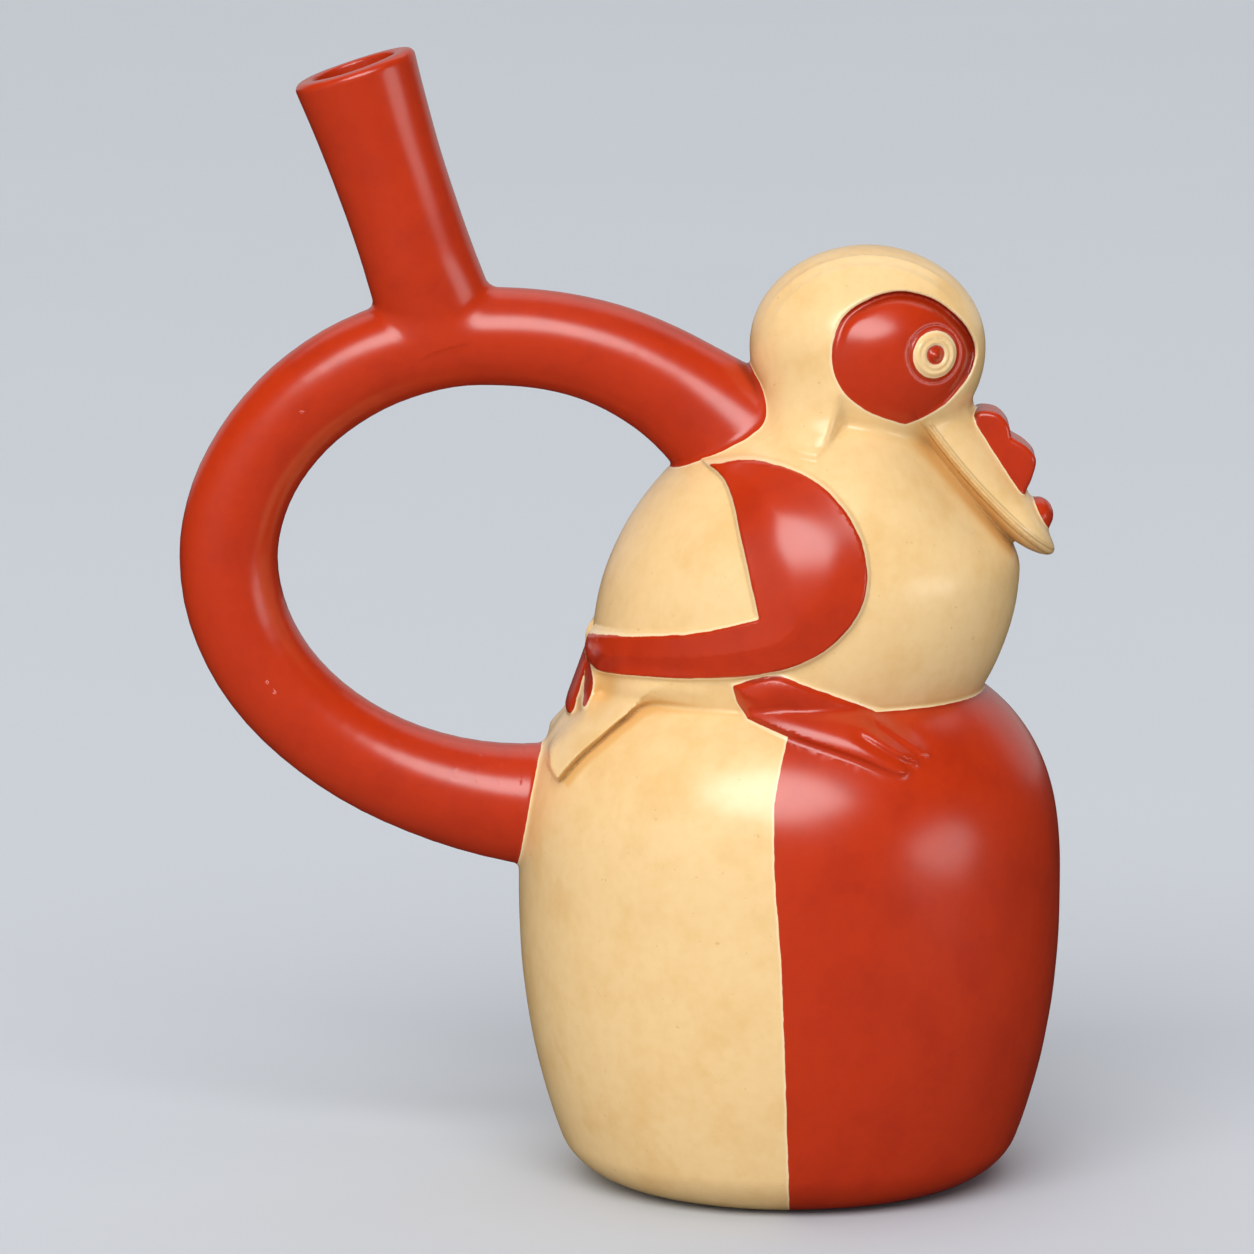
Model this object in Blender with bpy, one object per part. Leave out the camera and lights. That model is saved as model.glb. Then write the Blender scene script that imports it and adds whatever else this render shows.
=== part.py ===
"""A stirrup-spout bottle of burnished clay, slip-painted in red and cream, with a duck lying on its chamber.

It is one fired, hollow piece. Metres, +Z up, the duck faces +X, and the origin is the centre of the underside.
The duck is drawn on a grid of squares, a share of its own height: forward from the bottle's axis, and up from the
ring where it sits on the chamber.
"""

import math

import bmesh
import bpy
from mathutils import Matrix, Vector

# The chamber: a turned jar with a domed shoulder
CHAMBER_RADIUS = 0.0544
CHAMBER_HEIGHT = 0.1088
BELLY_HEIGHT = 0.062
FOOT_RADIUS = 0.0422
FOOT_ROUNDING = 0.009
FOOT_FULLNESS = 2.4
SHOULDER_FULLNESS = 2.6

# The clay
WALL = 0.004
FLOOR = 0.005
TUBE_WALL = 0.0035

# The duck, and the ring on the shoulder that it sits on
DUCK_HEIGHT = 0.0882
SEAT_RADIUS = 0.038
WING_RELIEF = 0.0018
WING_GAP = 0.009
LEG_RELIEF = 0.0026
HOOD_RELIEF = 0.0015
PATCH_DEPTH = 0.0012

# The stirrup: a ring of tube behind the duck, from its nape to the back of the chamber. Its heights are from the seat
TUBE_RADIUS = 0.0099
TUBE_FLARE = 0.0033
FLARE_LENGTH = 0.055
STIRRUP_REACH = 0.1122
CREST_SETBACK = 0.062
CREST_RISE = 0.0699
REAR_RISE = 0.0254
ROOT_DROP = 0.0251
ROOT_SINK = 0.0096

# The spout, leaning back from just behind the crest of the stirrup
SPOUT_OFFSET = 0.0068
SPOUT_LENGTH = 0.0572
SPOUT_LEAN = 18.3
SPOUT_MOUTH_RADIUS = 0.0127
SPOUT_WAIST_RADIUS = 0.0111
SPOUT_ROOT_RADIUS = 0.0121
SPOUT_WAIST_PLACE = 0.45

# Facets
CHAMBER_SIDES = 48
CHAMBER_ROWS = 8
FOOT_ROWS = 4
BODY_SIDES = 36
HEAD_SIDES = 28
TUBE_BEVEL = 7
TUBE_RINGS = 12
BORE_BEVEL = 3
HOLLOW_SHARE = 0.5

CREAM, RED = 0, 1
HAIRLINE = 0.0002
NARROWEST = 0.02
FAR = 0.5


# Helpers that make and join solids


def clay(name, colour):
    """A burnished slip."""
    material = bpy.data.materials.new(name)
    material.use_nodes = True
    shader = material.node_tree.nodes["Principled BSDF"]
    shader.inputs["Base Color"].default_value = (*colour, 1.0)
    shader.inputs["Roughness"].default_value = 0.28
    shader.inputs["Metallic"].default_value = 0.0
    material.diffuse_color = (*colour, 1.0)
    return material


def add_object(name, mesh, slip):
    """A new object whose faces all carry one slip."""
    for material in SLIPS:
        mesh.materials.append(material)
    for face in mesh.polygons:
        face.material_index = slip
    made = bpy.data.objects.new(name, mesh)
    bpy.context.scene.collection.objects.link(made)
    return made


def from_bmesh(name, shape, slip):
    bmesh.ops.recalc_face_normals(shape, faces=shape.faces)
    mesh = bpy.data.meshes.new(name)
    shape.to_mesh(mesh)
    shape.free()
    return add_object(name, mesh, slip)


def baked(source):
    """The mesh of an object with its modifiers or its curve worked out."""
    bpy.context.view_layer.update()
    graph = bpy.context.evaluated_depsgraph_get()
    return bpy.data.meshes.new_from_object(source.evaluated_get(graph))


def combine(base, tool, operation):
    """Joins, cuts or clips base by tool, which is used up."""
    modifier = base.modifiers.new(operation.lower(), "BOOLEAN")
    modifier.operation = operation
    modifier.solver = "EXACT"
    modifier.object = tool
    result = baked(base)
    base.modifiers.clear()
    base.data = result
    bpy.data.objects.remove(tool, do_unlink=True)
    return base


def joined(first, *others):
    for other in others:
        combine(first, other, "UNION")
    return first


def lathe(name, profile, sides, slip):
    """Turns a profile of (radius, height) about the bottle's axis. Its two ends lie on the axis."""
    shape = bmesh.new()
    corners = [shape.verts.new((radius, 0.0, height)) for radius, height in profile]
    edges = [shape.edges.new(pair) for pair in zip(corners, corners[1:])]
    bmesh.ops.spin(
        shape,
        geom=corners + edges,
        cent=(0.0, 0.0, 0.0),
        axis=(0.0, 0.0, 1.0),
        angle=math.tau,
        steps=sides,
        use_merge=True,
    )
    bmesh.ops.remove_doubles(shape, verts=shape.verts, dist=1e-6)
    return from_bmesh(name, shape, slip)


def prism(name, outline, slip, half_depth=FAR):
    """An outline of (x, z) places pushed through the bottle from side to side."""
    shape = bmesh.new()
    face = shape.faces.new([shape.verts.new((x, -half_depth, z)) for x, z in outline])
    pushed = bmesh.ops.extrude_face_region(shape, geom=[face])["geom"]
    moved = [item for item in pushed if isinstance(item, bmesh.types.BMVert)]
    bmesh.ops.translate(shape, verts=moved, vec=(0.0, 2.0 * half_depth, 0.0))
    return from_bmesh(name, shape, slip)


def loft(name, sections, slip):
    """Bridges closed rings of points into one skin, with a flat face on each end."""
    shape = bmesh.new()
    rings = [[shape.verts.new(point) for point in section] for section in sections]
    for ring, following in zip(rings, rings[1:]):
        count = len(ring)
        for side in range(count):
            beside = (side + 1) % count
            shape.faces.new((ring[side], ring[beside], following[beside], following[side]))
    shape.faces.new(rings[0])
    shape.faces.new(rings[-1])
    return from_bmesh(name, shape, slip)


def tube(name, path, bevel, slip):
    """A round tube along (x, z, radius) places in the bottle's own plane."""
    curve = bpy.data.curves.new(name, "CURVE")
    curve.dimensions = "3D"
    curve.bevel_depth = 1.0
    curve.bevel_resolution = bevel
    curve.use_fill_caps = True
    spline = curve.splines.new("POLY")
    spline.points.add(len(path) - 1)
    for point, (x, z, radius) in zip(spline.points, path):
        point.co = (x, 0.0, z, 1.0)
        point.radius = radius
    guide = bpy.data.objects.new(name + "_guide", curve)
    bpy.context.scene.collection.objects.link(guide)
    mesh = baked(guide)
    bpy.data.objects.remove(guide, do_unlink=True)
    shape = bmesh.new()
    shape.from_mesh(mesh)
    bpy.data.meshes.remove(mesh)
    bmesh.ops.remove_doubles(shape, verts=shape.verts, dist=1e-6)
    return from_bmesh(name, shape, slip)


def egg(name, centre, radii, drop, sides, slip):
    """An ellipsoid whose lower half reaches down by its own radius, drop."""
    shape = bmesh.new()
    bmesh.ops.create_uvsphere(shape, u_segments=sides, v_segments=sides // 2, radius=1.0)
    for corner in shape.verts:
        upright = radii[2] if corner.co.z > 0.0 else drop
        size = Vector((radii[0], radii[1], upright))
        corner.co = Vector(centre) + corner.co * size
    return from_bmesh(name, shape, slip)


# The chamber


def chamber_radius(height):
    """The turned outline: a full dome above the belly, a slow taper to the foot below it."""
    if height > BELLY_HEIGHT:
        share = (height - BELLY_HEIGHT) / (CHAMBER_HEIGHT - BELLY_HEIGHT)
        return CHAMBER_RADIUS * (1.0 - share**SHOULDER_FULLNESS) ** (1.0 / SHOULDER_FULLNESS)
    share = (BELLY_HEIGHT - height) / BELLY_HEIGHT
    return CHAMBER_RADIUS - (CHAMBER_RADIUS - FOOT_RADIUS) * share**FOOT_FULLNESS


def chamber_height(radius):
    """The height of the dome at a distance from the axis."""
    share = (1.0 - (radius / CHAMBER_RADIUS) ** SHOULDER_FULLNESS) ** (1.0 / SHOULDER_FULLNESS)
    return BELLY_HEIGHT + (CHAMBER_HEIGHT - BELLY_HEIGHT) * share


def chamber_profile(rows):
    """The outer outline from the middle of the underside to the top of the dome."""
    steepness = FOOT_FULLNESS * (CHAMBER_RADIUS - FOOT_RADIUS) / BELLY_HEIGHT
    flare = math.atan(steepness * (1.0 - FOOT_ROUNDING / BELLY_HEIGHT) ** (FOOT_FULLNESS - 1.0))
    foot_top = FOOT_ROUNDING * (1.0 - math.sin(flare))
    flat = chamber_radius(foot_top) - FOOT_ROUNDING * math.cos(flare)
    profile = [(0.0, 0.0), (flat, 0.0)]
    for step in range(1, FOOT_ROWS):
        turn = (math.radians(90.0) - flare) * step / FOOT_ROWS
        profile.append((flat + FOOT_ROUNDING * math.sin(turn), FOOT_ROUNDING * (1.0 - math.cos(turn))))
    for step in range(rows):
        height = foot_top + (BELLY_HEIGHT - foot_top) * step / rows
        profile.append((chamber_radius(height), height))
    for step in range(rows):
        turn = math.radians(90.0 * step / rows)
        radius = CHAMBER_RADIUS * math.cos(turn) ** (2.0 / SHOULDER_FULLNESS)
        profile.append((radius, chamber_height(radius)))
    profile.append((0.0, CHAMBER_HEIGHT))
    return profile


def chamber_form(name, swell, rows, sides, slip, floor=0.0):
    """The chamber, swollen or shrunk evenly above its floor."""
    profile = chamber_profile(rows)
    moved = []
    for index, (radius, height) in enumerate(profile):
        before = Vector(profile[max(index - 1, 0)])
        after = Vector(profile[min(index + 1, len(profile) - 1)])
        along = (after - before).normalized()
        outward = Vector((along.y, -along.x))
        swollen = radius + outward.x * swell if radius > 0.0 else 0.0
        underneath = height == 0.0
        moved.append((swollen, floor if underneath else max(height + outward.y * swell, floor)))
    return lathe(name, moved, sides, slip)


def painted_chamber():
    """The chamber with its front half in red, where the slips meet in the plane across the axis."""
    chamber = chamber_form("chamber", 0.0, CHAMBER_ROWS, CHAMBER_SIDES, CREAM)
    for face in chamber.data.polygons:
        if face.center.x > 0.0:
            face.material_index = RED
    return chamber


# The duck's places and its body


SQUARES_HIGH = 98.3


def unit(squares):
    return DUCK_HEIGHT * squares / SQUARES_HIGH


def place(forward, up):
    """A place in the bottle's own plane, from squares of the duck's grid."""
    return unit(forward), chamber_height(SEAT_RADIUS) + unit(up)


BODY_CENTRE = (3.6, 18.3)
BODY_LENGTH, BODY_WIDTH, BODY_RISE = 46.8, 44.6, 48.0
BODY_LEAN = 0.19
CHEST_TOP = (51.6, 29.4)
CHEST_SLOPE = 0.78
HEAD_CENTRE = (17.0, 75.8)
HEAD_LENGTH, HEAD_WIDTH, HEAD_RISE, HEAD_DROP = 26.3, 25.4, 22.5, 25.0


def body_form(name, swell, sides, slip):
    """The egg-shaped body. It leans forward, and its chest is drawn in behind the bill."""
    middle_x, middle_z = place(*BODY_CENTRE)
    top_x, top_z = place(*CHEST_TOP)
    shape = bmesh.new()
    bmesh.ops.create_uvsphere(shape, u_segments=sides, v_segments=sides // 2, radius=1.0)
    for corner in shape.verts:
        rise = corner.co.z * (unit(BODY_RISE) + swell)
        length = unit(BODY_LENGTH) + swell
        level = math.sqrt(max(1.0 - corner.co.z**2, NARROWEST**2))
        axis_x = middle_x + BODY_LEAN * rise
        chest_x = top_x + swell - CHEST_SLOPE * (middle_z + rise - top_z)
        if corner.co.x > 0.0:
            length = min(length, max((chest_x - axis_x) / level, NARROWEST * length))
        width = unit(BODY_WIDTH) + swell
        corner.co = (axis_x + corner.co.x * length, corner.co.y * width, middle_z + rise)
    return from_bmesh(name, shape, slip)


def head_form(name, swell, sides, slip):
    """The round head, a little flat on top."""
    x, z = place(*HEAD_CENTRE)
    radii = [unit(size) + swell for size in (HEAD_LENGTH, HEAD_WIDTH, HEAD_RISE)]
    return egg(name, (x, 0.0, z), radii, unit(HEAD_DROP) + swell, sides, slip)


def arc(centre, radii, start, end, steps):
    """Places on an ellipse of the grid, from one angle to another, in degrees."""
    angles = [math.radians(start + (end - start) * step / steps) for step in range(steps + 1)]
    return [(centre[0] + radii[0] * math.cos(a), centre[1] + radii[1] * math.sin(a)) for a in angles]


def raised(name, swollen, outline, slip):
    """What an outline leaves of a swollen form: relief that stands evenly off the surface."""
    return combine(swollen, prism(name + "_outline", [place(*point) for point in outline], slip), "INTERSECT")


# The duck's relief


def wings():
    """A round shoulder in front, and a band that sweeps back from it to the tail."""
    shoulder = arc((-9.5, 31.7), (25.9, 22.6), 90.0, -90.0, 18)
    band = [(-32.0, 6.9), (-43.0, 5.0), (-47.5, 8.0), (-44.5, 12.2), (-22.0, 17.6), (-7.9, 22.0)]
    neck = [(-14.4, 49.1), (-18.0, 53.0)]
    swollen = body_form("wings", WING_RELIEF, BODY_SIDES, RED)
    pair = raised("wings", swollen, shoulder + band + neck, RED)
    behind = [(-FAR, -FAR), (0.0, -FAR), (0.0, FAR), (-FAR, FAR)]
    return combine(pair, prism("wing_gap", behind, RED, WING_GAP / 2.0), "DIFFERENCE")


def tail():
    """A wedge over the back of the shoulder, which ends in a point on each side of the stirrup's root."""
    outline = [(-64.0, -8.0), (-51.6, -17.8), (-49.6, -14.3), (-41.8, -5.8), (-32.8, 2.8), (-29.8, 5.4)]
    outline += [(-31.0, 8.0), (-44.5, 13.5), (-64.0, 13.5)]
    levels = [(-24.0, 61.0, 57.5), (12.8, 44.8, 37.0), (15.0, 30.0, 25.0)]
    sections = []
    for up, back, side in levels:
        height = place(0.0, up)[1]
        turns = [math.tau * step / BODY_SIDES for step in range(BODY_SIDES)]
        sections.append([(unit(back) * math.cos(a), unit(side) * math.sin(a), height) for a in turns])
    return raised("tail", loft("tail", sections, CREAM), outline, CREAM)


def legs():
    """A thigh that comes out from under the wing, and a foot that runs forward over the shoulder."""
    thigh = [(-13.2, 7.2), (-8.0, 9.6), (-2.9, 9.5), (3.9, 6.5), (16.1, 1.7)]
    toes = [(29.7, -8.2), (26.4, -8.8), (26.6, -10.7), (23.4, -10.2), (23.3, -11.8)]
    under = [(12.4, -7.7), (-0.9, -3.7), (-10.0, -0.6), (-12.0, 3.8)]
    swollen = joined(
        chamber_form("legs", LEG_RELIEF, CHAMBER_ROWS, CHAMBER_SIDES, RED),
        body_form("legs_body", LEG_RELIEF, BODY_SIDES, RED),
    )
    return raised("legs", swollen, thigh + toes + under, RED)


def hood():
    """The cream hood's lobe, which runs down over the nape on each side."""
    lobe = [(10.9, 64.5), (7.9, 59.2), (4.2, 55.3), (0.5, 55.1), (-2.7, 56.4), (-6.0, 59.5), (-10.5, 74.0)]
    swollen = joined(
        head_form("hood", HAIRLINE, HEAD_SIDES, CREAM),
        body_form("hood_body", HOOD_RELIEF, BODY_SIDES, CREAM),
    )
    return raised("hood", swollen, lobe + [(2.0, 74.0)], CREAM)


def face_patches(head):
    """Sinks the red patch on each side of the head, with a low point under the eye."""
    outline = arc((24.4, 76.5), (16.0, 14.5), -50.0, 238.0, 24) + [(20.0, 62.4), (25.2, 61.4), (29.5, 62.4)]
    cutter = prism("patch_outline", [place(*point) for point in outline], RED)
    combine(cutter, head_form("patch_floor", -PATCH_DEPTH, HEAD_SIDES, RED), "DIFFERENCE")
    return combine(head, cutter, "DIFFERENCE")


def eyes():
    """A cream ring with a red pupil in it, turned as one stud on each side of the head."""
    profile = [(0.0, 1.5), (1.5, 1.2), (2.2, 0.2), (2.7, 0.2), (3.3, 1.1), (4.6, 1.1), (5.4, 0.3), (5.4, -5.0)]
    head_x, head_z = place(*HEAD_CENTRE)
    floor_radii = Vector([unit(size) - PATCH_DEPTH for size in (HEAD_LENGTH, HEAD_WIDTH, HEAD_RISE)])
    made = []
    for side in (-1.0, 1.0):
        seat = Vector((head_x, 0.0, head_z)) + Vector((0.54, side * 0.838, 0.06)) * floor_radii
        facing = Vector((0.46, side * 0.88, 0.07)).normalized()
        outline = [(unit(radius), unit(rise)) for radius, rise in profile] + [(0.0, unit(-5.0))]
        stud = lathe("eye", outline[::-1], 24, CREAM)
        for face in stud.data.polygons:
            if face.center.xy.length < unit(2.4) and face.center.z > 0.0:
                face.material_index = RED
        turned = Vector((0.0, 0.0, 1.0)).rotation_difference(facing).to_matrix().to_4x4()
        stud.data.transform(Matrix.Translation(seat) @ turned)
        made.append(stud)
    return joined(*made)


# The bill


def between(start, end, bow, share):
    """A place on a shallow bow from start to end."""
    run = Vector(end) - Vector(start)
    aside = Vector((run.y, -run.x)).normalized()
    return Vector(start) + run * share + aside * bow * 4.0 * share * (1.0 - share)


BILL_TOP = ((39.2, 64.8), (59.2, 31.2), -0.9)
BILL_GAPE = ((28.8, 62.0), (57.6, 30.8), 1.6)
BILL_UNDER = ((24.6, 61.6), (52.2, 28.6), 2.2)
BILL_HALF_WIDTH, BILL_TAPER = 15.6, 0.18
TIP_START, TIP_ROUNDING, TIP_DEPTH = 0.78, 0.98, 0.45
BILL_RINGS = 12
BILL_SIDES = 16


def mandible(name, edge, lap, fullness):
    """Half of the bill, drawn in at the tip. Each section bulges from the gape to one edge and laps over the gape."""
    sections = []
    for ring in range(BILL_RINGS + 1):
        share = ring / BILL_RINGS
        gape = between(*BILL_GAPE, share)
        past_start = max(share - TIP_START, 0.0) / (1.0 - TIP_START)
        closing = math.sqrt(1.0 - (TIP_ROUNDING * past_start) ** 2)
        wide = unit(BILL_HALF_WIDTH * (1.0 - BILL_TAPER * share)) * closing
        bulge = (between(*edge, share) - gape) * (TIP_DEPTH + (1.0 - TIP_DEPTH) * closing)
        section = []
        for step in range(BILL_SIDES):
            turn = math.tau * (step + 0.5) / BILL_SIDES
            side = math.copysign(abs(math.cos(turn)) ** fullness, math.cos(turn))
            rise = abs(math.sin(turn)) ** fullness
            reach = bulge * rise if math.sin(turn) > 0.0 else bulge.normalized() * (-lap * rise)
            x, z = place(*(gape + reach))
            section.append((x, wide * side, z))
        sections.append(section)
    return loft(name, sections, CREAM)


def bill():
    """The two mandibles, pressed together and laid on the chest."""
    upper = mandible("upper_mandible", BILL_TOP, 0.9, 0.85)
    lower = mandible("lower_mandible", BILL_UNDER, 0.5, 0.45)
    return joined(upper, lower)


def caruncle():
    """The red comb on the bill: an upright slab with two lobes."""
    first = arc((44.8, 57.0), (4.9, 4.7), 118.0, -38.0, 8)
    second = arc((50.0, 49.8), (4.7, 4.6), 62.0, -60.0, 8)
    outline = [(40.2, 59.4)] + first + second + [(50.0, 43.9), (46.0, 42.0), (38.0, 55.0)]
    return prism("caruncle", [place(*point) for point in outline], RED, unit(6.6))


def nail():
    """The red nail at the tip of the bill."""
    x, z = place(56.9, 37.2)
    return egg("nail", (x, 0.0, z), (unit(3.3), unit(4.6), unit(4.2)), unit(4.2), 16, RED)


# The stirrup and the spout


def ring_back(turn):
    """The (x, z) of the ring from its rearmost place, at no turn, up to its crest, at a quarter turn."""
    seat = chamber_height(SEAT_RADIUS)
    x = -CREST_SETBACK - (STIRRUP_REACH - CREST_SETBACK) * math.cos(turn) ** 1.05
    return x, seat + REAR_RISE + (CREST_RISE - REAR_RISE) * math.sin(turn) ** 1.05


def stirrup_path(inset):
    """From inside the chamber round the back of the ring to inside the nape, as (x, z, radius)."""
    seat = chamber_height(SEAT_RADIUS)
    turns = [math.radians(90.0 * step / TUBE_RINGS) for step in range(TUBE_RINGS)]
    root_x = ROOT_SINK - CHAMBER_RADIUS
    path = []
    for turn in turns:
        x = root_x - (STIRRUP_REACH + root_x) * math.sin(turn)
        path.append((x, seat + REAR_RISE - (REAR_RISE + ROOT_DROP) * math.cos(turn)))
    path += [ring_back(turn) for turn in turns]
    nape_x, nape_z = place(-8.9, 52.3)
    for step in range(TUBE_RINGS + 1):
        share = step / TUBE_RINGS
        x = -CREST_SETBACK + (nape_x + CREST_SETBACK) * share
        path.append((x, seat + CREST_RISE - (seat + CREST_RISE - nape_z) * share**2.45))
    return flared(path, inset)


def flared(path, inset):
    """Adds the radius of each place: the tube widens towards both of its roots."""
    lengths = [math.dist(a, b) for a, b in zip(path, path[1:])]
    total, run = sum(lengths), 0.0
    placed = []
    for index, (x, z) in enumerate(path):
        near = min(run, total - run)
        opening = max(1.0 - near / FLARE_LENGTH, 0.0) ** 2
        placed.append((x, z, TUBE_RADIUS + TUBE_FLARE * opening - inset))
        run += lengths[index] if index < len(lengths) else 0.0
    return placed


def spout_path(inset, overshoot):
    """From the centre line of the stirrup to the mouth, as (x, z, radius)."""
    lean = math.radians(SPOUT_LEAN)
    root_x, root_z = ring_back(math.acos(SPOUT_OFFSET / (STIRRUP_REACH - CREST_SETBACK)))
    waist = SPOUT_WAIST_PLACE
    stations = [waist * step / 3 for step in range(3)]
    stations += [waist + (1.0 - waist) * step / 4 for step in range(5)]
    path = []
    for share in stations:
        if share < waist:
            radius = SPOUT_WAIST_RADIUS + (SPOUT_ROOT_RADIUS - SPOUT_WAIST_RADIUS) * (1.0 - share / waist) ** 2
        else:
            opening = ((share - waist) / (1.0 - waist)) ** 2
            radius = SPOUT_WAIST_RADIUS + (SPOUT_MOUTH_RADIUS - SPOUT_WAIST_RADIUS) * opening
        run = SPOUT_LENGTH * share + (overshoot if share == 1.0 else 0.0)
        path.append((root_x - run * math.sin(lean), root_z + run * math.cos(lean), radius - inset))
    return path


def handle():
    """The stirrup and its spout, still solid."""
    ring = tube("stirrup", stirrup_path(0.0), TUBE_BEVEL, RED)
    return joined(ring, tube("spout", spout_path(0.0, 0.0), TUBE_BEVEL, RED))


# The hollow, and the whole bottle


def hollow():
    """The one space inside: chamber, body and head, and the bores of the stirrup and the spout."""
    rows, sides, body_sides, head_sides = (
        int(count * HOLLOW_SHARE) for count in (CHAMBER_ROWS, CHAMBER_SIDES, BODY_SIDES, HEAD_SIDES)
    )
    return joined(
        chamber_form("hollow", -WALL, rows, sides, CREAM, FLOOR),
        body_form("hollow_body", -WALL, body_sides, CREAM),
        head_form("hollow_head", -WALL, head_sides, CREAM),
        tube("ring_bore", stirrup_path(TUBE_WALL), BORE_BEVEL, RED),
        tube("spout_bore", spout_path(TUBE_WALL, 2.0 * TUBE_WALL), BORE_BEVEL, RED),
    )


def duck():
    """The duck without its legs, still solid."""
    body = body_form("body", 0.0, BODY_SIDES, CREAM)
    head = face_patches(head_form("head", 0.0, HEAD_SIDES, CREAM))
    face = joined(bill(), caruncle(), nail())
    return joined(body, head, face, eyes(), hood(), wings())


def bottle():
    whole = joined(painted_chamber(), duck(), tail(), legs(), handle())
    combine(whole, hollow(), "DIFFERENCE")
    whole.name = "bottle"
    whole.data.name = "bottle"
    whole.data.shade_smooth()
    whole.data.set_sharp_from_angle(angle=math.radians(34.0))
    return whole


for leftover in list(bpy.data.objects):
    bpy.data.objects.remove(leftover, do_unlink=True)
SLIPS = (clay("cream_slip", (0.82, 0.62, 0.36)), clay("red_slip", (0.52, 0.06, 0.015)))
bottle()
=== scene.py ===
"""The looks of a stirrup-spout bottle: a duck on a rounded chamber, in burnished red and cream slip.

The bottle's forms are worked out in millimetres as distances to its surface, on one side of its own plane of
symmetry, turned into a mesh and mirrored. x runs the way the duck faces, z up, and y away from the plane.
"""

import math

import bpy
import numpy as np
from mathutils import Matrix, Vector


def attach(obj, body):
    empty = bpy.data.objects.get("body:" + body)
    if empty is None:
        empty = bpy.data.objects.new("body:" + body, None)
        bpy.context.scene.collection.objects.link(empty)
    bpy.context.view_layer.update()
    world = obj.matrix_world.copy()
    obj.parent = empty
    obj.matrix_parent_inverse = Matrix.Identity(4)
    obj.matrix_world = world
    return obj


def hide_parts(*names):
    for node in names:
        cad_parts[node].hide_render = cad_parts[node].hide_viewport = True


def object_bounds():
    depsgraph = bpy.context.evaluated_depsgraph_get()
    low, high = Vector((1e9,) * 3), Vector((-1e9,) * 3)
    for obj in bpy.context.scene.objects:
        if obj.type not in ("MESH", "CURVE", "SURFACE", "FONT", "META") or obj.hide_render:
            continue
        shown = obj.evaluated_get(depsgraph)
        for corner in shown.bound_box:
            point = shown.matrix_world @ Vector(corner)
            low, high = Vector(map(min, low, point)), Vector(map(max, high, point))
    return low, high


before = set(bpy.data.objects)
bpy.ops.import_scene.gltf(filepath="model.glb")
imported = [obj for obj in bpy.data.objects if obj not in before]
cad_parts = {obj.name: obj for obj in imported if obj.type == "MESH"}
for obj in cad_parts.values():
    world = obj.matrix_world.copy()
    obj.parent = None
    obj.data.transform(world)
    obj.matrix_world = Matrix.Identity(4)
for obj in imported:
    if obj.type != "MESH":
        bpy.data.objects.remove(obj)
cad_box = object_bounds()

MM = 0.001

# Joining forms
# Clay forms are luted together and the joints smoothed with a wet finger: a soft joint has a small fillet,
# and an edge that was cut and burnished is slightly round.


def soft_joint(a, b, width):
    """The union of two forms, with a fillet about half as wide as width."""
    share = np.clip(0.5 + 0.5 * (b - a) / width, 0.0, 1.0)
    return b + (a - b) * share - width * share * (1.0 - share)


def round_cut(a, b, radius):
    """What two forms share, with the edge between them rounded."""
    over_a, over_b = np.maximum(a + radius, 0.0), np.maximum(b + radius, 0.0)
    return np.minimum(np.maximum(a, b), -radius) + np.hypot(over_a, over_b)


def ramp(value, start, end):
    share = np.clip((value - start) / (end - start), 0.0, 1.0)
    return share * share * (3.0 - 2.0 * share)


def mound(value, width):
    return np.exp(-((value / width) ** 2))


# The chamber
# A turned jar with a full dome above the belly and a slow taper to the foot, whose edge is rounded.

CHAMBER_RADIUS, CHAMBER_HEIGHT, BELLY = 54.4, 108.8, 62.0
FOOT_RADIUS, FOOT_ROUNDING, FOOT_FULLNESS, DOME_FULLNESS = 42.2, 9.0, 2.4, 2.6
WALL, FLOOR = 4.0, 5.0


def chamber(x, y, z):
    across = np.hypot(x, y) + 1e-6
    tall = CHAMBER_HEIGHT - BELLY
    up, out = np.maximum(z - BELLY, 0.0) / tall, across / CHAMBER_RADIUS
    reach = (up**DOME_FULLNESS + out**DOME_FULLNESS) ** (1.0 / DOME_FULLNESS)
    power = DOME_FULLNESS - 1.0
    slope = np.hypot((up / reach) ** power / tall, (out / reach) ** power / CHAMBER_RADIUS)
    drop = np.clip((BELLY - z) / BELLY, 0.0, 1.1)
    taper = CHAMBER_RADIUS - FOOT_RADIUS
    lean = taper * FOOT_FULLNESS / BELLY * drop ** (FOOT_FULLNESS - 1.0)
    wall = (across - CHAMBER_RADIUS + taper * drop**FOOT_FULLNESS) / np.hypot(1.0, lean)
    return np.where(z > BELLY, (reach - 1.0) / slope, wall)


# The duck's body and head
# The body is an egg that leans forward, with the chest drawn in behind the bill. The head is round and a
# little flat on top.

BODY_MIDDLE, BODY_HALF, BODY_LEAN = (3.2, 117.0), (42.0, 40.0, 43.0), 0.19
CHEST_X, CHEST_Z, CHEST_SLOPE = 46.3, 127.0, 0.78
HEAD_MIDDLE, HEAD_HALF, HEAD_DROP = (15.25, 168.6), (23.6, 22.8, 20.2), 22.4


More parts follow.
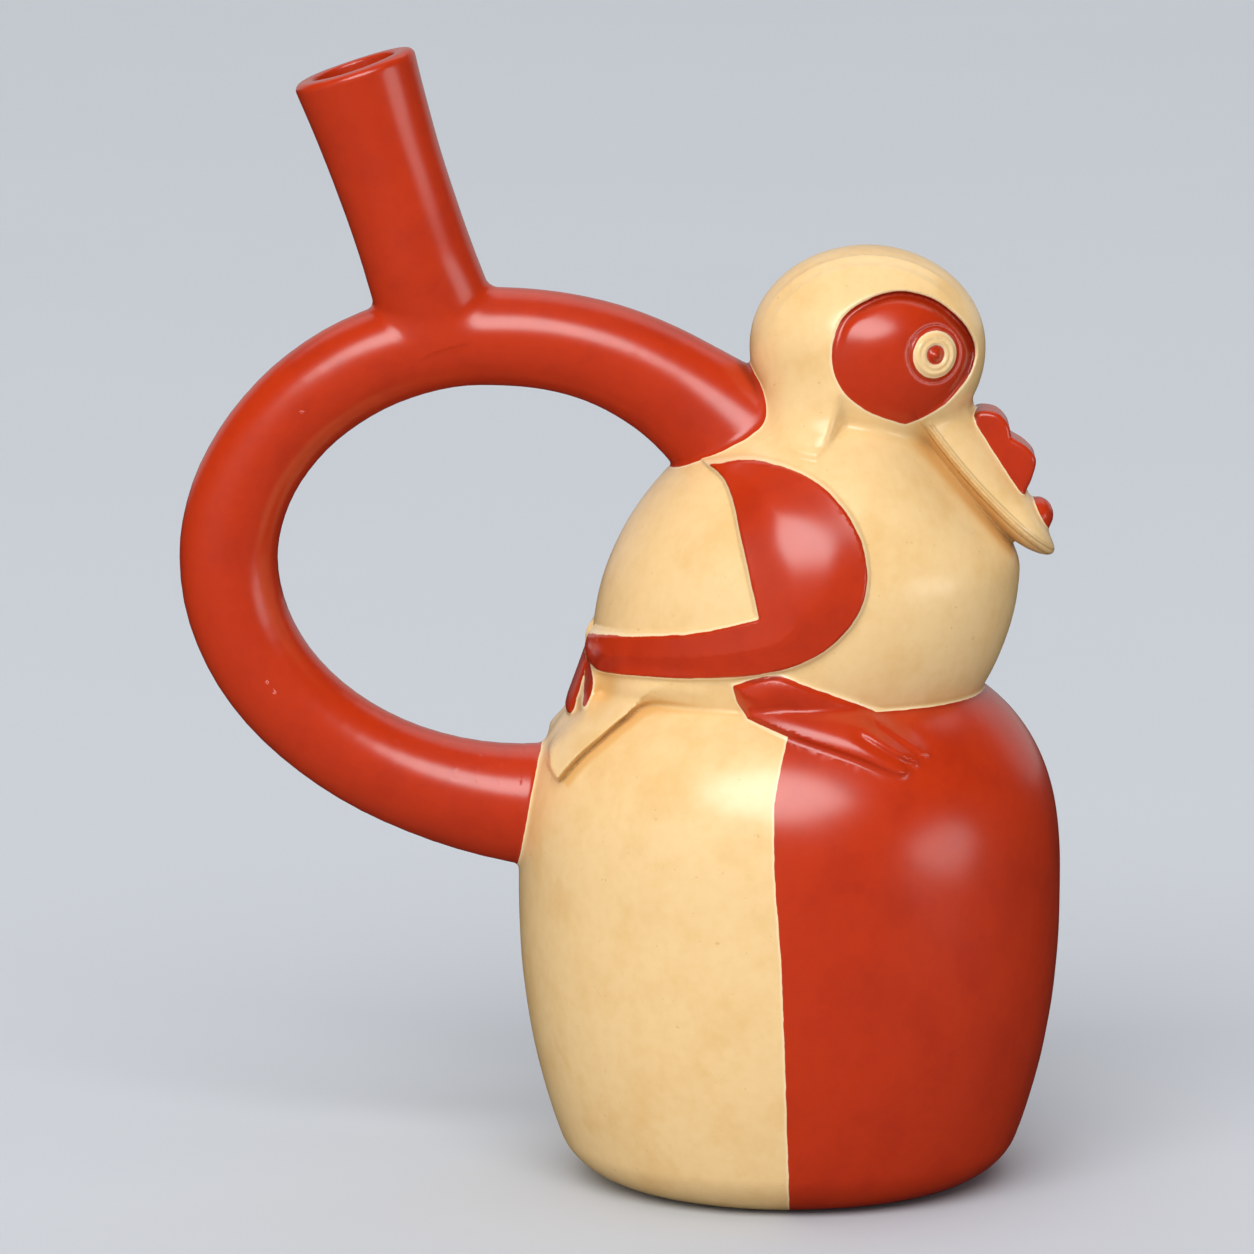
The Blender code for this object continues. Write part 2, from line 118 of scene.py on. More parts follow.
def body(x, y, z):
    rise = (z - BODY_MIDDLE[1]) / BODY_HALF[2]
    level = np.sqrt(np.maximum(1.0 - rise**2, 0.04)) * BODY_HALF[0]
    axis = BODY_MIDDLE[0] + BODY_LEAN * (z - BODY_MIDDLE[1])
    front = np.maximum(soft_joint(CHEST_X - CHEST_SLOPE * (z - CHEST_Z) - axis, level, 3.0), 4.0)
    stretch = np.where(x > axis, level / front, 1.0) / BODY_HALF[0]
    along, side = (x - axis) * stretch, y / BODY_HALF[1]
    reach = np.sqrt(along**2 + side**2 + rise**2) + 1e-6
    slope = np.sqrt((along * stretch) ** 2 + (side / BODY_HALF[1]) ** 2 + (rise / BODY_HALF[2]) ** 2) / reach
    return (reach - 1.0) / np.maximum(slope, 1e-4)


def egg(x, y, z, middle, half, drop):
    """An egg whose lower half reaches down by drop."""
    tall = np.where(z > middle[1], half[2], drop)
    parts = (x - middle[0]) / half[0], y / half[1], (z - middle[1]) / tall
    reach = np.sqrt(sum(part**2 for part in parts)) + 1e-6
    slope = np.sqrt(sum((part / size) ** 2 for part, size in zip(parts, (half[0], half[1], tall)))) / reach
    return (reach - 1.0) / np.maximum(slope, 1e-4)


# Outlines
# What is carved or painted on the duck's sides is drawn in side view, as (x, z) places. A run of places is a
# smooth curve, and one run meets the next in a corner.


def smooth_run(places, steps=6):
    places = np.array(places, float)
    ends = np.vstack([2.0 * places[0] - places[1], places, 2.0 * places[-1] - places[-2]])
    shares = np.arange(steps)[:, None] / steps
    made = []
    for before, start, end, after in zip(ends, ends[1:], ends[2:], ends[3:]):
        bend = 2.0 * before - 5.0 * start + 4.0 * end - after
        twist = -before + 3.0 * start - 3.0 * end + after
        made.append(0.5 * (2.0 * start + (end - before) * shares + bend * shares**2 + twist * shares**3))
    return np.vstack(made + [places[-1:]])


def outline(*runs):
    return np.vstack([smooth_run(run) if len(run) > 2 else np.array(run, float) for run in runs])


def nearest(x, z, line):
    """The distance to a line, and how far along it the nearest place is."""
    best, place, run = np.full(x.shape, 1e9), np.zeros(x.shape), 0.0
    for start, end in zip(line, line[1:]):
        step = end - start
        length = math.hypot(*step)
        if length == 0.0:
            continue
        share = np.clip(((x - start[0]) * step[0] + (z - start[1]) * step[1]) / length**2, 0.0, 1.0)
        away = (x - start[0] - step[0] * share) ** 2 + (z - start[1] - step[1] * share) ** 2
        closer = away < best
        best, place = np.where(closer, away, best), np.where(closer, run + length * share, place)
        run += length
    return np.sqrt(best), place


def depth_in(x, z, ring, reach=8.0):
    """The distance inside a closed outline, negative outside it, and no further than reach."""
    low, high = ring.min(0) - reach, ring.max(0) + reach
    near = (x > low[0]) & (x < high[0]) & (z > low[1]) & (z < high[1])
    found = np.full(x.shape, -reach)
    px, pz = x[near], z[near]
    closed = np.vstack([ring, ring[:1]])
    away, _ = nearest(px, pz, closed)
    inside = np.zeros(px.shape, bool)
    for start, end in zip(closed, closed[1:]):
        crosses = (start[1] > pz) != (end[1] > pz)
        level = np.where(crosses, pz - start[1], 0.0) / (end[1] - start[1] if end[1] != start[1] else 1.0)
        inside ^= crosses & (px < start[0] + level * (end[0] - start[0]))
    found[near] = np.clip(np.where(inside, away, -away), -reach, 1e3)
    return found


# The stirrup and the spout
# One tube of clay, rolled round a stick and bent: a quarter of an ellipse out of the chamber's back, another
# up to the crest, and a curve down to the nape. The spout is a second tube, which leans back and widens at
# both ends.

TUBE_RADIUS, TUBE_WALL = 9.9, 3.5
TUBE_FLARE, FLARE_LENGTH = 3.3, 55.0
ROOT_X, ROOT_Z = -44.8, 75.5
REAR_X, REAR_Z = -112.2, 126.0
CREST_X, CREST_Z = -62.0, 170.5
RING_SQUARENESS = 1.05
NAPE_X, NAPE_Z, NAPE_BEND = -8.0, 147.5, 2.45
NAPE_SWELL, SWELL_LENGTH, NAPE_LEAN = 2.2, 22.0, math.radians(39.7)
SPOUT_FOOT = (-68.8, 170.1)
SPOUT_LENGTH, SPOUT_LEAN = 57.55, math.radians(18.3)
SPOUT_RADII = {"root": 12.1, "waist": 11.1, "mouth": 12.7}
SPOUT_WAIST, SPOUT_PINCH = 0.45, 0.27
LIP_ROUNDING, BORE_ROUNDING = 1.8, 0.7


def stirrup_line(steps=22):
    """The middle of the ring's tube in side view, from its root at the chamber to the nape."""
    line = []
    for step in range(steps):
        turn = math.pi / 2.0 * step / steps
        out = (REAR_X - ROOT_X) * math.sin(turn)
        line.append((ROOT_X + out, REAR_Z - (REAR_Z - ROOT_Z) * math.cos(turn)))
    for step in range(steps):
        turn = math.pi / 2.0 * step / steps
        back = (CREST_X - REAR_X) * math.cos(turn) ** RING_SQUARENESS
        line.append((CREST_X - back, REAR_Z + (CREST_Z - REAR_Z) * math.sin(turn) ** RING_SQUARENESS))
    for step in range(steps + 1):
        share = step / steps
        line.append((CREST_X + (NAPE_X - CREST_X) * share, CREST_Z - (CREST_Z - NAPE_Z) * share**NAPE_BEND))
    return np.array(line)


STIRRUP = stirrup_line()
STIRRUP_LENGTH = float(np.linalg.norm(np.diff(STIRRUP, axis=0), axis=1).sum())


def stirrup_radius(place):
    end = np.minimum(place, STIRRUP_LENGTH - place)
    nape = NAPE_SWELL * np.maximum(1.0 - (STIRRUP_LENGTH - place) / SWELL_LENGTH, 0.0) ** 2
    return TUBE_RADIUS + TUBE_FLARE * np.maximum(1.0 - end / FLARE_LENGTH, 0.0) ** 2 + nape


def spout_radius(run):
    share = run / SPOUT_LENGTH
    below = np.clip(1.0 - share / SPOUT_WAIST, 0.0, 1.4) ** 2
    above = np.clip((share - SPOUT_WAIST) / (1.0 - SPOUT_WAIST), 0.0, 1.2) ** 2
    waist = SPOUT_RADII["waist"]
    return waist + (SPOUT_RADII["root"] - waist) * below + (SPOUT_RADII["mouth"] - waist) * above


def spout_distance(run, aside, y):
    """The spout's foot is pinched from side to side, so that it sits inside the ring."""
    pinch = 1.0 + SPOUT_PINCH * (1.0 - ramp(run, -2.0, 18.0))
    return np.hypot(aside, y * pinch) - spout_radius(run)


# The relief of the duck
# The wings, the legs, the hood, the tail and the face patches are carved a millimetre or two high or deep.
# Each outline is drawn in side view, and its relief stops short of the plane of symmetry.

WING = outline(
    [(-17.5, 147.6), (-7.7, 149.6), (1.6, 147.8), (8.3, 143.5), (13.1, 136.6), (14.8, 128.7),
     (13.2, 121.5), (8.2, 115.4), (1.5, 111.2), (-7.9, 108.7), (-18.6, 107.4), (-28.8, 106.6),
     (-37.6, 105.6), (-41.2, 107.4)],
    [(-41.2, 107.4), (-41.6, 110.2), (-38.5, 112.9), (-30.8, 114.8), (-18.3, 117.2), (-7.1, 120.5)],
    [(-7.1, 120.5), (-9.8, 132.0), (-12.9, 144.0), (-17.5, 147.6)],
)
LEG = outline(
    [(-11.9, 106.6), (-7.0, 108.5), (-2.6, 109.0), (3.5, 106.6), (14.4, 102.1), (22.0, 97.4), (26.2, 94.2),
     (27.1, 92.9), (25.6, 92.5)],
    [(25.6, 92.5), (24.5, 91.2), (23.3, 91.3)],
    [(23.3, 91.3), (22.6, 89.9), (21.4, 89.5), (19.0, 90.1), (11.1, 93.5), (-0.8, 97.2), (-9.0, 100.1)],
    [(-9.0, 100.1), (-11.0, 103.2), (-11.9, 106.6)],
)
TOE_GROOVES = [np.array(run, float) for run in (((12.5, 101.3), (25.6, 92.4)), ((10.5, 98.9), (23.3, 91.2)))]
HOOD = outline(
    [(10.6, 162.0), (10.0, 157.7), (9.0, 154.7), (7.4, 151.8), (4.6, 149.6)],
    [(4.6, 149.6), (1.0, 150.2), (-2.8, 151.4), (-9.0, 152.0)],
    [(-9.0, 152.0), (-26.0, 156.0)],
    [(-26.0, 156.0), (-26.0, 174.0)],
    [(-26.0, 174.0), (6.0, 174.0)],
    [(6.0, 174.0), (10.6, 162.0)],
)
TAIL = outline(
    [(-54.0, 97.0), (-49.7, 89.6), (-48.9, 86.9), (-47.4, 85.2), (-45.9, 84.4)],
    [(-45.9, 84.4), (-42.9, 88.7), (-39.3, 92.6), (-35.6, 96.4), (-32.0, 99.9), (-28.5, 103.7),
     (-26.6, 105.2)],
    [(-26.6, 105.2), (-23.0, 106.5), (-12.0, 106.0)],
    [(-12.0, 106.0), (-12.0, 116.0)],
    [(-12.0, 116.0), (-54.0, 118.0)],
)
TAIL_FOOT = outline(
    [(-54.0, 97.0), (-49.9, 89.6), (-49.2, 86.7), (-47.6, 84.8), (-46.0, 83.9)],
    [(-46.0, 83.9), (-41.8, 89.2), (-37.2, 93.6), (-32.0, 97.9), (-27.1, 100.3), (-20.2, 100.5),
     (-11.0, 100.0)],
    [(-11.0, 100.0), (-11.0, 116.0)],
    [(-11.0, 116.0), (-54.0, 118.0)],
)
PATCH = outline(
    [(22.4, 155.2), (14.6, 158.6), (9.6, 163.2), (7.6, 169.5), (9.4, 176.4), (14.3, 180.2), (21.0, 181.8),
     (28.2, 179.8), (33.8, 175.0), (36.4, 169.8), (35.8, 165.6), (33.3, 161.8), (28.8, 158.0), (22.4, 155.2)],
)
COMB = outline(
    [(35.9, 154.0), (37.2, 156.2), (40.8, 156.0), (43.2, 153.8), (44.0, 151.0)],
    [(44.0, 151.0), (46.9, 149.2), (48.9, 146.5), (48.1, 142.6), (46.6, 139.4)],
    [(46.6, 139.4), (41.5, 137.5), (33.5, 150.0), (35.9, 154.0)],
)
FEATHER = outline(
    [(-40.6, 108.4), (-41.0, 104.5), (-41.2, 101.0), (-41.4, 98.2), (-40.3, 99.7), (-39.4, 102.2),
     (-39.5, 104.6), (-40.1, 107.0), (-40.6, 108.4)],
)
QUILL = np.array(((-40.0, 109.4), (-43.3, 96.2)))
QUILL_ROOT = np.array(((-37.9, 107.5), (-40.2, 99.0)))
QUILL_RADII, QUILL_HALF = (0.5, 1.8), 9.0

WING_RELIEF, WING_SWELL = 1.5, 0.9
LEG_RELIEF, TOE_DEPTH = 2.4, 0.65
HOOD_RELIEF = 0.9
TAIL_RELIEF = 2.2
PATCH_SINK, PATCH_GROOVE = 0.5, 1.0
RELIEF_START = {"wing": 4.6, "patch": 5.0, "leg": 12.0, "hood": 4.0}
COMB_HALF, COMB_ROUNDING = 5.9, 1.3
NAIL_MIDDLE, NAIL_HALF = (49.4, 134.6), (3.2, 4.8, 3.7)
EYE_MIDDLE, EYE_FACING = (28.3, 19.4, 169.6), (0.13, 0.99, 0.05)
EYE_SWELLS = ((0.0, 1.35, 1.45), (2.5, 0.55, 0.75), (3.75, 0.85, 1.0), (5.35, 0.6, -0.4))
PUPIL_RADIUS, RING_RADIUS = 1.95, 4.72


# The bill
# Two pressed-together mandibles laid on the chest. The gape runs down their side on a shallow bow, a thin lip
# stands above it, and the tip is round.

BILL_START, BILL_END = np.array((25.8, 156.2)), np.array((52.4, 127.4))
BILL_RUN = float(np.linalg.norm(BILL_END - BILL_START))
BILL_HALF_WIDTH, BILL_TAPER, TIP_START = 14.0, 0.2, 0.72
GAPE_BOW, BILL_SINK, CULMEN_START, CULMEN_END = 1.5, 1.5, 8.7, 2.2


def mandible(along, out, y, thick, lap, half, fullness):
    """One half of the bill: out runs from the gape to its own edge."""
    ending = np.maximum(along / BILL_RUN - TIP_START, 0.0) / (1.0 - TIP_START)
    size = np.where(out > 0.0, thick, lap)
    depth = np.abs(out) / size
    plan = np.sqrt((y / half) ** 2 + ending**2) + 1e-6
    reach = (depth**fullness + plan**fullness) ** (1.0 / fullness) + 1e-6
    power = fullness - 1.0
    slope = np.hypot((depth / reach) ** power / size, (plan / reach) ** power / half)
    return (reach - 1.0) / np.maximum(slope, 1e-3)


def bill_places(x, z):
    """How far along the bill a place is, as a share, and how far above the bowed gape."""
    ahead = (BILL_END - BILL_START) / BILL_RUN
    dx, dz = x - BILL_START[0], z - BILL_START[1]
    along, raw = dx * ahead[0] + dz * ahead[1], -dx * ahead[1] + dz * ahead[0]
    share = np.clip(along / BILL_RUN, -0.2, 1.0)
    return along, share, raw + GAPE_BOW * 4.0 * share * (1.0 - share)


def bill(x, y, z):
    """The distances to the upper and to the lower mandible."""
    along, share, out = bill_places(x, z)
    bow = GAPE_BOW * 4.0 * share * (1.0 - share)
    culmen = CULMEN_START + (CULMEN_END - CULMEN_START) * np.clip((along - 5.0) / (BILL_RUN - 5.0), -0.3, 1.0)
    half = BILL_HALF_WIDTH * (1.0 - BILL_TAPER * share)
    fullness = 1.55 + 0.75 * ramp(share, 0.6, 0.9)
    upper = mandible(along, out, y, np.maximum(culmen + bow, 2.0), 1.3, half, fullness)
    under = 2.4 + 0.9 * share
    lower = mandible(along, -out - 0.5, y, under, 1.4, half - 1.1, 2.0)
    root = -along - BILL_SINK
    return np.maximum(upper, root), np.maximum(lower, root)


# Putting the forms together
# The forms run into each other with soft joints, wider where the photo shows a fillet. The relief is laid on
# the body, and the hollow is the same forms a wall further in.

CHAMBER_JOINT = 1.0
HEAD_JOINT, HOOD_JOINT = 2.5, 10.0
NECK_JOINT, ROOT_JOINT, SPOUT_JOINT = 1.6, 1.4, 2.0
QUILL_JOINT, QUILL_ROOT_JOINT = 0.7, 3.0
BILL_JOINT, COMB_JOINT, FACE_JOINT = 1.6, 0.9, 1.5
LIP_THICKENING = 0.8


def side_view(x, z):
    """Everything that depends on the side view alone."""
    away, place = nearest(x, z, STIRRUP)
    # Near the nape the place comes from a straight line, so that the tube swells there without small steps.
    to_nape = np.maximum((NAPE_X - x) * math.cos(NAPE_LEAN) + (z - NAPE_Z) * math.sin(NAPE_LEAN), 0.0)
    place = place + (STIRRUP_LENGTH - to_nape - place) * ramp(x, -38.0, -22.0) * ramp(z, 120.0, 140.0)
    lean = math.sin(SPOUT_LEAN), math.cos(SPOUT_LEAN)
    dx, dz = x - SPOUT_FOOT[0], z - SPOUT_FOOT[1]
    grooves = [nearest(x, z, groove) for groove in TOE_GROOVES]
    quill, quill_run = nearest(x, z, QUILL)
    return {
        "toes": np.minimum(grooves[0][0], grooves[1][0]),
        "toe_run": np.where(grooves[0][0] < grooves[1][0], grooves[0][1], grooves[1][1]),
        "ring": away,
        "ring_place": place,
        "spout_run": -dx * lean[0] + dz * lean[1],
        "spout_aside": dx * lean[1] + dz * lean[0],
        "wing": depth_in(x, z, WING),
        "leg": depth_in(x, z, LEG),
        "hood": depth_in(x, z, HOOD),
        "tail": depth_in(x, z, TAIL),
        "tail_foot": depth_in(x, z, TAIL_FOOT),
        "patch": depth_in(x, z, PATCH),
        "comb": depth_in(x, z, COMB),
        "feather": depth_in(x, z, FEATHER),
        "quill": quill,
        "quill_run": quill_run,
        "quill_root": nearest(x, z, QUILL_ROOT)[0],
    }


def relief_depth(view, name, y):
    """The distance inside an outline, falling off before the plane of symmetry."""
    return view[name] - np.maximum(RELIEF_START[name] - y, 0.0)


def eye_distance(x, y, z):
    """How far a place is from the line that the eye looks along."""
    facing = np.array(EYE_FACING) / np.linalg.norm(EYE_FACING)
    parts = [value - start for value, start in zip((x, y, z), EYE_MIDDLE)]
    along = sum(part * way for part, way in zip(parts, facing))
    return np.sqrt(sum((part - along * way) ** 2 for part, way in zip(parts, facing)))


def handmade(x, y, z):
    """The slight unevenness of a surface that was shaped and burnished by hand."""
    slow = np.sin(x / 9.0 + 1.3) * np.sin(z / 11.0) * np.cos(y / 8.0 + 0.4)
    quick = np.sin(x / 3.7 + z / 5.1) * np.sin(z / 4.3 - y / 4.9 + 2.0)
    return 0.12 + 0.09 * slow + 0.03 * quick


def forms(x, y, z, view):
    """Each form's distance, with y on one side of the plane of symmetry."""
    made = {}
    made["chamber"] = round_cut(chamber(x, y, z), -z, FOOT_ROUNDING)
    trunk = body(x, y, z)
    wing = relief_depth(view, "wing", y)
    swell = WING_SWELL * ramp(wing, 0.5, 9.0)
    made["body"] = trunk - WING_RELIEF * ramp(wing, -0.7, 0.8) - swell
    head = egg(x, y, z, (HEAD_MIDDLE[0], HEAD_MIDDLE[1]), HEAD_HALF, HEAD_DROP)
    patch = relief_depth(view, "patch", y)
    aloft = ramp(z + 0.5 * x, 165.0, 190.0)
    sunk = ramp(patch, -0.5, 0.6) * (PATCH_SINK * (1.0 - 0.6 * ramp(patch, 1.0, 8.0)) * (0.3 + 0.7 * aloft))
    rim = PATCH_GROOVE * mound(patch - 1.0, 0.9) * aloft
    off_eye = eye_distance(x, y, z)
    eye = sum(height * mound(off_eye - middle, width) for middle, width, height in EYE_SWELLS)
    eye = eye * ramp(y, 6.0, 10.0)
    crown = ramp(z, 172.0, 180.0) * ramp(-x, -36.0, -28.0)
    ridges = 0.22 * (mound(y - 7.6, 0.9) + mound(y - 11.4, 0.9)) * crown
    made["head"] = head + sunk + rim - eye - ridges
    made["upper"], made["lower"] = bill(x, y, z)
    made["comb"] = round_cut(-view["comb"], y - COMB_HALF, COMB_ROUNDING)
    made["nail"] = egg(x, y, z, NAIL_MIDDLE, NAIL_HALF, NAIL_HALF[2])
    thick = QUILL_RADII[0] + (QUILL_RADII[1] - QUILL_RADII[0]) * np.minimum(view["quill_run"] / 12.0, 1.0)
    made["quill"] = (np.hypot(view["quill"] / thick, y / QUILL_HALF) - 1.0) * thick
    made["quill_root"] = (np.hypot(view["quill_root"] / 1.9, (y - 7.0) / 9.0) - 1.0) * 1.9
    made["ring"] = np.hypot(view["ring"], y) - stirrup_radius(view["ring_place"])
    spout = spout_distance(view["spout_run"], view["spout_aside"], y)
    spout = np.maximum(spout, -view["spout_run"])
    made["spout"] = round_cut(spout, view["spout_run"] - SPOUT_LENGTH, LIP_ROUNDING)
    return made


def leg_height(view, y):
    """A domed thigh and three toes, with a steep edge all round."""
    leg = relief_depth(view, "leg", y)
    dome = np.sin(math.pi / 2.0 * np.clip(leg / 4.4, 0.0, 1.0)) * ramp(leg, -0.2, 1.2)
    height = LEG_RELIEF * (0.35 * ramp(leg, -1.0, 1.2) + 0.65 * dome)
    along_toes = ramp(view["toe_run"], 0.0, 5.0) * ramp(leg, 0.0, 1.4)
    grooves = TOE_DEPTH * mound(view["toes"], 0.85) * along_toes
    return height * (1.0 - 0.35 * ramp(view["toe_run"], 4.0, 16.0)) - grooves


def tail_height(x, y, z, view):
    """A wedge: a facet rises from its foot to its ridge, and the top falls back to the body behind it."""
    foot, ridge = np.maximum(view["tail_foot"], 0.0), view["tail"]
    climb = foot / np.maximum(foot - np.minimum(ridge, 0.0), 0.5)
    behind = 1.0 - ramp(ridge, 0.0, 13.0)
    fade = (1.0 - ramp(x, -26.0, -13.0)) * (1.0 - ramp(z, 103.0, 110.0)) * ramp(y, 5.0, 20.0)
    return TAIL_RELIEF * np.where(ridge > 0.0, behind, climb) * ramp(foot, 0.0, 1.8) * fade


def outside(x, y, z, view):
    """The distance to the outer surface, and the forms that it was made from."""
    made = forms(x, y, z, view)
    within = relief_depth(view, "hood", y)
    hood = HOOD_RELIEF * ramp(within, -0.6, 1.4) * ramp(x, -11.0, 1.0)
    shell = soft_joint(made["body"] - hood, made["chamber"], CHAMBER_JOINT)
    shell = shell - leg_height(view, y) - tail_height(x, y, z, view)
    shell = soft_joint(shell, made["quill_root"], QUILL_ROOT_JOINT)
    made["plain"] = shell
    shell = soft_joint(shell, made["quill"], QUILL_JOINT)
    nape = ramp(within, -1.8, 2.6) * ramp(z, 145.0, 154.0) * ramp(x, -12.0, 0.0)
    shell = soft_joint(shell, made["head"], HEAD_JOINT + HOOD_JOINT * nape)
    face = soft_joint(made["upper"], made["lower"], BILL_JOINT)
    face = soft_joint(soft_joint(face, made["comb"], COMB_JOINT), made["nail"], COMB_JOINT)
    shell = soft_joint(shell, face, FACE_JOINT)
    tubes = soft_joint(made["ring"], made["spout"], SPOUT_JOINT)
    joint = np.where(x > -20.0, NECK_JOINT, ROOT_JOINT)
    made["shell"], made["tubes"] = shell, tubes
    return soft_joint(shell, tubes, joint), made


def inside(x, y, z, view):
    """The distance to the hollow: the forms again, a wall further in, and the bores of the tubes."""
    jar = round_cut(chamber(x, y, z) + WALL, FLOOR - z, FOOT_ROUNDING - WALL)
    duck = np.minimum(body(x, y, z), egg(x, y, z, HEAD_MIDDLE, HEAD_HALF, HEAD_DROP)) + WALL
    ring = np.hypot(view["ring"], y) - stirrup_radius(view["ring_place"])
    spout = spout_distance(view["spout_run"], view["spout_aside"], y)
    thicker = LIP_THICKENING * ramp(view["spout_run"], 40.0, 56.0)
    bores = np.minimum(ring, np.maximum(spout, -view["spout_run"]) + thicker) + TUBE_WALL
    return soft_joint(np.minimum(jar, duck), bores, 1.0)


def clay(x, y, z, view):
    """The distance to the clay itself."""
    outer, _ = outside(x, y, z, view)
    return round_cut(outer, -inside(x, y, z, view), BORE_ROUNDING) + handmade(x, y, z)


# Turning the distances into a mesh
# The distances are sampled on a grid, a net of quads is laid where they change sign, the flat places are
# thinned, and every point then settles on the true surface and takes its facing from it.

CELL = 0.5
BLOCK = 8
MOST_TRIANGLES = 192000
LOW, HIGH = np.array((-125.0, 0.0, -3.0)), np.array((58.0, 58.0, 231.0))


def sampled():
    """The distance at every node of a grid over one side, worked out only near the surface."""
    count = np.ceil((HIGH - LOW) / CELL / BLOCK).astype(int) * BLOCK + 1
    xs, ys, zs = (LOW[axis] + CELL * np.arange(count[axis]) for axis in range(3))
    ys = ys - CELL / 2.0
    flat_x, flat_z = (grid.ravel() for grid in np.meshgrid(xs, zs, indexing="ij"))
    view = {name: values.reshape(len(xs), len(zs)) for name, values in side_view(flat_x, flat_z).items()}
    skip = BLOCK // 2
    rows, columns = np.arange(0, count[0], skip), np.arange(0, count[2], skip)
    rough = at_nodes(xs[::skip], ys[::skip], zs[::skip], view, rows, columns)
    spread = np.repeat(np.repeat(np.repeat(rough, skip, 0), skip, 1), skip, 2)
    field = spread[: count[0], : count[1], : count[2]].astype(np.float32)
    near = np.abs(rough) < CELL * skip * 2.4
    blocks = near[:-1, :-1, :-1].copy()
    for corner in np.ndindex(2, 2, 2):
        blocks |= near[tuple(slice(first, size - 1 + first) for first, size in zip(corner, near.shape))]
    starts = np.argwhere(blocks) * skip
    steps = np.arange(skip + 1)
    for first in range(0, len(starts), 4000):
        some = starts[first : first + 4000]
        i, j, k = (some[:, axis, None] + steps for axis in range(3))
        shape = (len(some), skip + 1, skip + 1, skip + 1)
        ii = np.broadcast_to(i[:, :, None, None], shape)
        jj = np.broadcast_to(j[:, None, :, None], shape)
        kk = np.broadcast_to(k[:, None, None, :], shape)
        part = {name: values[ii, kk] for name, values in view.items()}
        field[ii, jj, kk] = clay(xs[ii], np.abs(ys[jj]), zs[kk], part)
    return field, xs, ys, zs


def at_nodes(xs, ys, zs, view, rows, columns):
    """The distance at a coarser grid's nodes."""
    x, y, z = np.meshgrid(xs, np.abs(ys), zs, indexing="ij")
    part = {}
    for name, values in view.items():
        part[name] = np.broadcast_to(values[np.ix_(rows, columns)][:, None, :], x.shape)
    return clay(x, y, z, part)


def net(field, xs, ys, zs):
    """A mesh of quads with one vertex in each cell that the surface passes through."""
    corners = list(np.ndindex(2, 2, 2))
    solid = field < 0.0
    size = np.array(field.shape) - 1
    total = np.zeros(size, np.int8)
    for a, b, c in corners:
        total += solid[a : size[0] + a, b : size[1] + b, c : size[2] + c]
    cells = np.argwhere((total > 0) & (total < 8))
    values = np.stack([field[tuple((cells + corner).T)] for corner in corners], 1)
    middle, crossings = np.zeros((len(cells), 3)), np.zeros(len(cells))
    for one, other in ((p, q) for p in range(8) for q in range(p + 1, 8) if bin(p ^ q).count("1") == 1):
        a, b = values[:, one], values[:, other]
        crossed = (a < 0.0) != (b < 0.0)
        share = np.where(crossed, a / np.where(crossed, a - b, 1.0), 0.0)[:, None]
        place = np.array(corners[one]) + share * (np.array(corners[other]) - np.array(corners[one]))
        middle += np.where(crossed[:, None], place, 0.0)
        crossings += crossed
    middle /= crossings[:, None]
    points = np.array((xs[0], ys[0], zs[0])) + CELL * (cells + middle)
    number = np.full(size, -1, np.int32)
    number[tuple(cells.T)] = np.arange(len(cells))
    quads = []
    for axis in range(3):
        across, beyond = (axis + 1) % 3, (axis + 2) % 3
        ahead = np.eye(3, dtype=int)[axis]
        start = solid[: size[0] + 1 - ahead[0], : size[1] + 1 - ahead[1], : size[2] + 1 - ahead[2]]
        changed = np.argwhere(start != solid[ahead[0] :, ahead[1] :, ahead[2] :])
        changed = changed[(changed[:, across] > 0) & (changed[:, beyond] > 0)]
        changed = changed[(changed[:, across] < size[across]) & (changed[:, beyond] < size[beyond])]
        back_a, back_b = np.eye(3, dtype=int)[across], np.eye(3, dtype=int)[beyond]
        ring = [changed - back_a - back_b, changed - back_b, changed, changed - back_a]
        quad = np.stack([number[tuple(cell.T)] for cell in ring], 1)
        leaving = solid[tuple(changed.T)]
        quads.append(np.where(leaving[:, None], quad, quad[:, ::-1]))
    return points, np.vstack(quads)


def distance_at(points):
    x, y, z = points[:, 0], np.abs(points[:, 1]), points[:, 2]
    return clay(x, y, z, side_view(x, z))


def slope_at(points, step=0.05):
    moves = np.eye(3) * step
    rises = [distance_at(points + move) - distance_at(points - move) for move in moves]
    return np.stack(rises, 1) / (2.0 * step)


def settled(points, rounds=2):
    """Moves points onto the surface, and returns them with the way that the surface faces there."""
    middle = points[:, 1] < 1e-4
    for _ in range(rounds):
        slope = slope_at(points)
        gap = distance_at(points) / np.maximum((slope**2).sum(1), 0.05)
        points = points - np.clip(gap, -0.5, 0.5)[:, None] * slope
        points[middle, 1] = 0.0
        points[:, 1] = np.maximum(points[:, 1], 0.0)
    facing = slope_at(points)
    facing[middle, 1] = 0.0
    return points, facing / np.maximum(np.linalg.norm(facing, axis=1), 1e-6)[:, None]


def bare_mesh(name, points, faces):
    mesh = bpy.data.meshes.new(name)
    mesh.vertices.add(len(points))
    mesh.vertices.foreach_set("co", np.asarray(points, np.float32).ravel())
    sides = faces.shape[1]
    mesh.loops.add(faces.size)
    mesh.loops.foreach_set("vertex_index", faces.astype(np.int32).ravel())
    mesh.polygons.add(len(faces))
    mesh.polygons.foreach_set("loop_start", np.arange(0, faces.size, sides, dtype=np.int32))
    mesh.update(calc_edges=True)
    return mesh


# The slips
# Red slip covers the stirrup, the wings, the legs, the face patches, the comb, the nail and the front of the
# chamber. Cream covers the rest. Each border was painted by hand along the carving.

